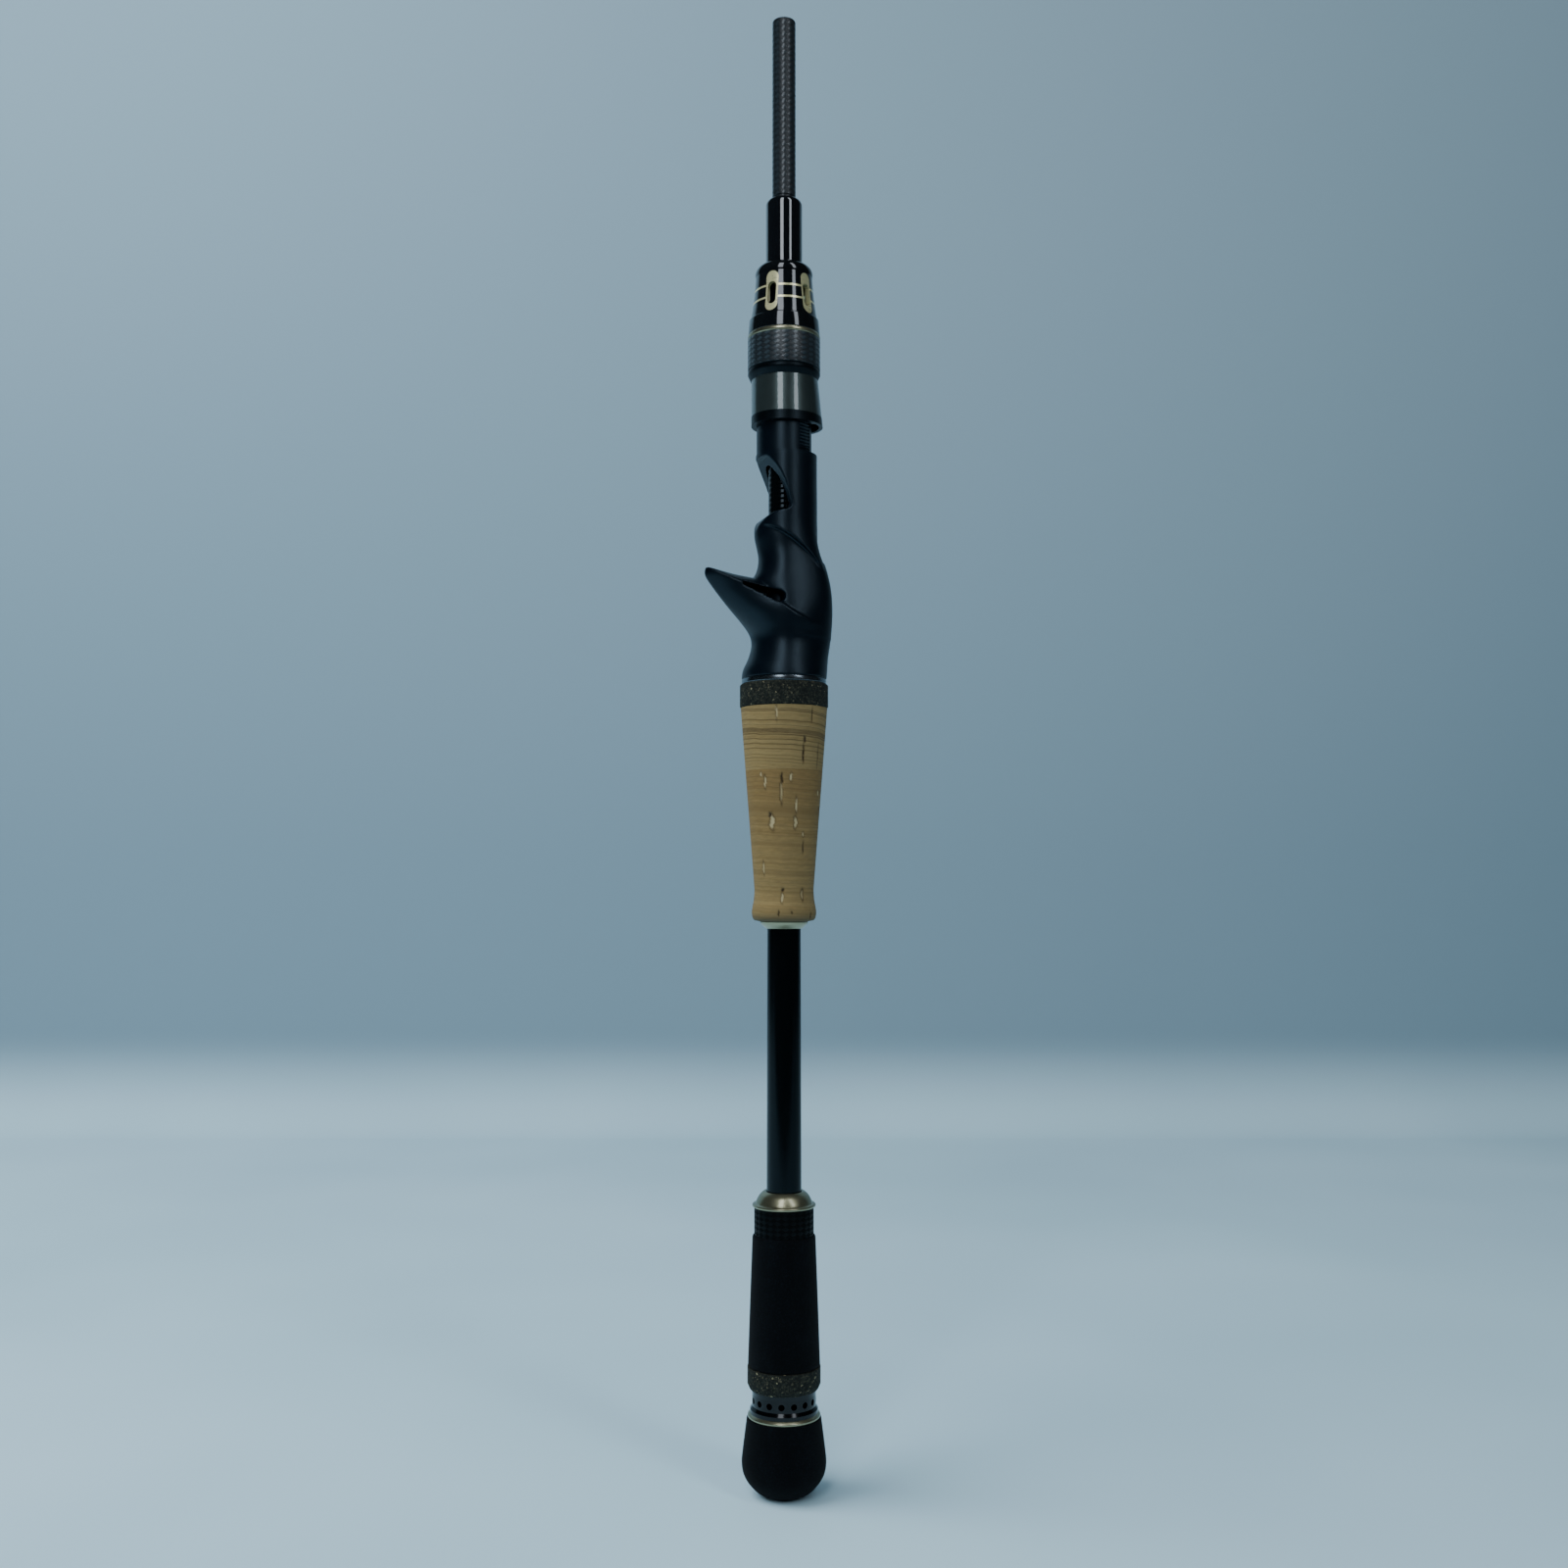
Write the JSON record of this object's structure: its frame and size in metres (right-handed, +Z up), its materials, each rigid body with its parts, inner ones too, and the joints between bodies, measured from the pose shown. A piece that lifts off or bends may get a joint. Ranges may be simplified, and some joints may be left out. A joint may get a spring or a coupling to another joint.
{
  "type": "casting rod butt section",
  "caption": "Casting rod handle section with trigger reel seat, screw-down sliding hood, cork and foam grips, and a male ferrule spigot for the tip section.",
  "frame": {"origin": "centre of the small flat at the butt end, on the rod's axis", "axes": "+Z up the rod's axis to the ferrule, +X the side that carries the reel, -X the trigger side"},
  "size_m": [0.0393, 0.0262, 0.4397],
  "materials": {
    "gloss_black": "gloss varnish",
    "carbon_weave": "woven carbon under matt lacquer",
    "black_plastic": "moulded",
    "arbor_foam": "cut foam",
    "eva_foam": "ground closed-cell foam",
    "gold_alloy": "polished and anodised",
    "black_alloy": "black anodised",
    "rubber_cork": "sanded",
    "bright_alloy": "polished",
    "gunmetal": "gunmetal anodised, polished",
    "seat_plastic": "soft-touch moulded",
    "cork": "sanded cork"
  },
  "bodies": {
    "handle": {"rod_blank": "gloss_black", "front_wrap": "gloss_black", "ferrule_spigot": "carbon_weave", "rear_carbon_ring": "carbon_weave", "butt_plug": "black_plastic", "spigot_plug": "black_plastic", "seat_arbor_rear": "arbor_foam", "seat_arbor_front": "arbor_foam", "butt_cap": "eva_foam", "rear_grip": "eva_foam", "butt_gold_ring": "gold_alloy", "rear_check": "gold_alloy", "front_check": "gold_alloy", "butt_spacer_ring": "black_alloy", "butt_cork_ring": "rubber_cork", "grip_trim_ring": "rubber_cork", "seat_end_ring": "bright_alloy", "reel_seat": "seat_plastic", "cork_ring_1": "cork", "cork_ring_2": "cork", "cork_ring_3": "cork", "cork_ring_4": "cork", "cork_ring_5": "cork"},
    "hood": {"hood_liner": "black_plastic", "hood_band": "gunmetal"},
    "lock_nut": {"nut_thrust_ring": "black_plastic", "nut_core": "black_plastic", "nut_carbon_ring": "carbon_weave", "nut_gold_ring": "gold_alloy", "foregrip_collar": "gloss_black", "foregrip_shell": "gloss_black", "window_bezels": "gold_alloy", "pinstripes": "gold_alloy"}
  },
  "joints": [
    {"name": "hood_slide", "type": "slide", "parent": "handle", "child": "hood", "axis": [0, 0, 1], "range_m": [-0.009, 0.012]},
    {"name": "nut_turn", "type": "hinge", "parent": "hood", "child": "lock_nut", "pos_m": [0, 0, 0.3276], "axis": [0, 0, 1], "range_deg": [-3240, 4320]}
  ],
  "couplings": [
    {"joint": "hood_slide", "follows": "nut_turn", "m_per_rad": 0.00015915}
  ]
}
